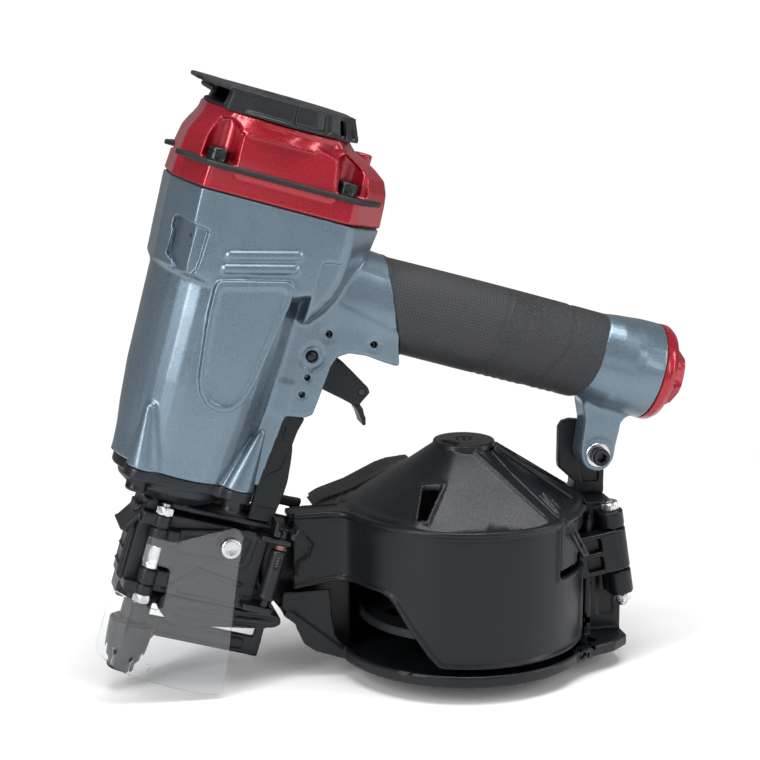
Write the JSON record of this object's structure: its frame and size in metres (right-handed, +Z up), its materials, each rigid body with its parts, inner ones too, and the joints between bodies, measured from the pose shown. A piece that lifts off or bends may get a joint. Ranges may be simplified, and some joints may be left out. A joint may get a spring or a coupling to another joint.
{
  "type": "pneumatic coil nail gun",
  "caption": "Pneumatic coil nail gun with a round swing-open magazine, side-hinged nose door, sprung contact tip, turnable exhaust deflector and rubber-sleeved air handle.",
  "frame": {"origin": "centre of the flat underside of the round magazine, on the surface the gun stands on", "axes": "+Z up; +X from the nose towards the end of the handle, along the floor; +Y to the gun's far side, away from the side with the door and the cover. The drive line leans 16.3 degrees from +Z towards +X."},
  "size_m": [0.3036, 0.1258, 0.2981],
  "materials": {
    "body_paint": "metallic blue-grey paint over die-cast alloy, satin",
    "red_paint": "metallic red paint over die-cast alloy",
    "red_anodised": "red painted, satin",
    "seal_rubber": "matt",
    "black_screw": "black oxide",
    "black_plastic": "moulded, fine grain",
    "magazine_plastic": "glass filled nylon, satin with fine grain",
    "trigger_plastic": "moulded, satin",
    "white_nylon": "natural nylon",
    "spring_steel": "bright wire",
    "copper_spring": "copper coated wire",
    "aluminium_part": "hard anodised",
    "tool_steel": "ground",
    "black_steel": "black phosphate",
    "dark_pin": "oiled steel",
    "zinc": "blue zinc plated",
    "chrome": "polished",
    "clear_plastic": "clear polycarbonate",
    "grip_rubber": "moulded rubber, pimpled"
  },
  "bodies": {
    "gun": {"housing": "body_paint", "cylinder_cap": "red_paint", "cap_gasket": "seal_rubber", "cap_screws": "black_screw", "skid_plate_left": "black_plastic", "skid_plate_right": "black_plastic", "deflector_bolt": "black_screw", "head_valve_spring": "spring_steel", "cylinder_sleeve": "aluminium_part", "piston_bumper": "seal_rubber", "nose_body": "black_steel", "nose_screws": "black_screw", "contact_spring": "copper_spring", "arm_cover": "black_plastic", "trigger_pin": "dark_pin", "trigger_valve": "black_plastic", "trigger_spring": "spring_steel", "valve_pins": "dark_pin", "grip_sleeve": "grip_rubber", "end_cap": "red_paint", "inlet_plug": "red_anodised", "plug_seal": "seal_rubber", "door_hinge_bolt": "zinc", "door_hinge_nuts": "zinc", "feed_spring": "spring_steel", "feed_cylinder_cap": "black_steel", "magazine_base": "magazine_plastic", "cover_hinge_bolt": "zinc", "cover_hinge_nuts": "zinc", "tray_post": "magazine_plastic", "magazine_bracket": "magazine_plastic", "bracket_screws": "black_screw", "bracket_bolt": "black_screw", "bracket_nut": "dark_pin", "magazine_screws": "black_screw"},
    "deflector": {"exhaust_deflector": "black_plastic"},
    "head_valve": {"head_valve": "white_nylon"},
    "piston": {"main_piston": "aluminium_part", "piston_ring": "seal_rubber", "driver_blade": "tool_steel"},
    "contact": {"contact_arm": "black_steel", "contact_tip": "black_steel"},
    "dial": {"depth_dial": "black_plastic"},
    "trigger": {"trigger": "trigger_plastic", "lever_pin": "dark_pin"},
    "lever": {"safety_lever": "tool_steel"},
    "plunger": {"trigger_plunger": "zinc"},
    "door": {"nose_door": "black_steel", "door_spacer": "chrome", "nose_shield": "clear_plastic", "shield_rivet": "zinc", "latch_spring": "copper_spring"},
    "latch": {"door_latch": "black_steel"},
    "feed": {"feed_piston": "aluminium_part", "pawl_pin": "dark_pin"},
    "pawl": {"feed_pawl": "tool_steel"},
    "cover": {"magazine_cover": "magazine_plastic"},
    "tray": {"coil_tray": "magazine_plastic"}
  },
  "joints": [
    {"name": "deflector_spin", "type": "hinge", "parent": "gun", "child": "deflector", "pos_m": [-0.09481, 0, 0.27075], "axis": [0.2807, 0, 0.9598], "continuous": true},
    {"name": "head_valve_slide", "type": "slide", "parent": "gun", "child": "head_valve", "axis": [0.2807, 0, 0.9598], "range_m": [0, 0.004], "stiffness_N_per_m": 2000, "springref_m": -0.004, "deforming": ["head_valve_spring"]},
    {"name": "piston_slide", "type": "slide", "parent": "gun", "child": "piston", "axis": [-0.2807, 0, -0.9598], "range_m": [0, 0.085]},
    {"name": "contact_slide", "type": "slide", "parent": "gun", "child": "contact", "axis": [0.2807, 0, 0.9598], "range_m": [0, 0.008], "stiffness_N_per_m": 900, "springref_m": -0.012, "deforming": ["contact_spring"]},
    {"name": "dial_spin", "type": "hinge", "parent": "contact", "child": "dial", "pos_m": [-0.10198, 0, 0.08947], "axis": [0.2807, 0, 0.9598], "continuous": true},
    {"name": "trigger_pull", "type": "hinge", "parent": "gun", "child": "trigger", "pos_m": [-0.08013, 0, 0.15706], "axis": [0, -1, 0], "range_deg": [0, 8], "stiffness_Nm_per_rad": 0.6, "springref_deg": -11.46},
    {"name": "lever_tilt", "type": "hinge", "parent": "trigger", "child": "lever", "pos_m": [-0.05386, 0, 0.13645], "axis": [0, 1, 0], "range_deg": [0, 8]},
    {"name": "plunger_slide", "type": "slide", "parent": "gun", "child": "plunger", "axis": [0.2807, 0, 0.9598], "range_m": [0, 0.0022], "deforming": ["trigger_spring"]},
    {"name": "door_swing", "type": "hinge", "parent": "gun", "child": "door", "pos_m": [-0.15896, -0.017, 0.06029], "axis": [-0.2807, 0, -0.9598], "range_deg": [0, 60]},
    {"name": "latch_slide", "type": "slide", "parent": "door", "child": "latch", "axis": [-0.2807, 0, -0.9598], "range_m": [0, 0.003], "stiffness_N_per_m": 500, "springref_m": -0.003, "deforming": ["latch_spring"]},
    {"name": "feed_slide", "type": "slide", "parent": "gun", "child": "feed", "axis": [0.9598, 0, -0.2807], "range_m": [0, 0.013], "stiffness_N_per_m": 300, "springref_m": -0.006, "deforming": ["feed_spring"]},
    {"name": "pawl_swing", "type": "hinge", "parent": "feed", "child": "pawl", "pos_m": [-0.13788, 0.011, 0.05934], "axis": [-0.2807, 0, -0.9598], "range_deg": [0, 15], "stiffness_Nm_per_rad": 0.05, "springref_deg": -17.19},
    {"name": "cover_swing", "type": "hinge", "parent": "gun", "child": "cover", "pos_m": [0.0758, -0.015, 0.0495], "axis": [-0.165, 0, 0.9863], "range_deg": [0, 95]},
    {"name": "tray_slide", "type": "slide", "parent": "gun", "child": "tray", "axis": [0, 0, 1], "range_m": [-0.006, 0.02]}
  ],
  "couplings": [
    {"joint": "plunger_slide", "follows": "trigger_pull", "m_per_rad": 0.0145},
    {"joint": "lever_tilt", "follows": "contact_slide", "rad_per_m": 16.4}
  ]
}
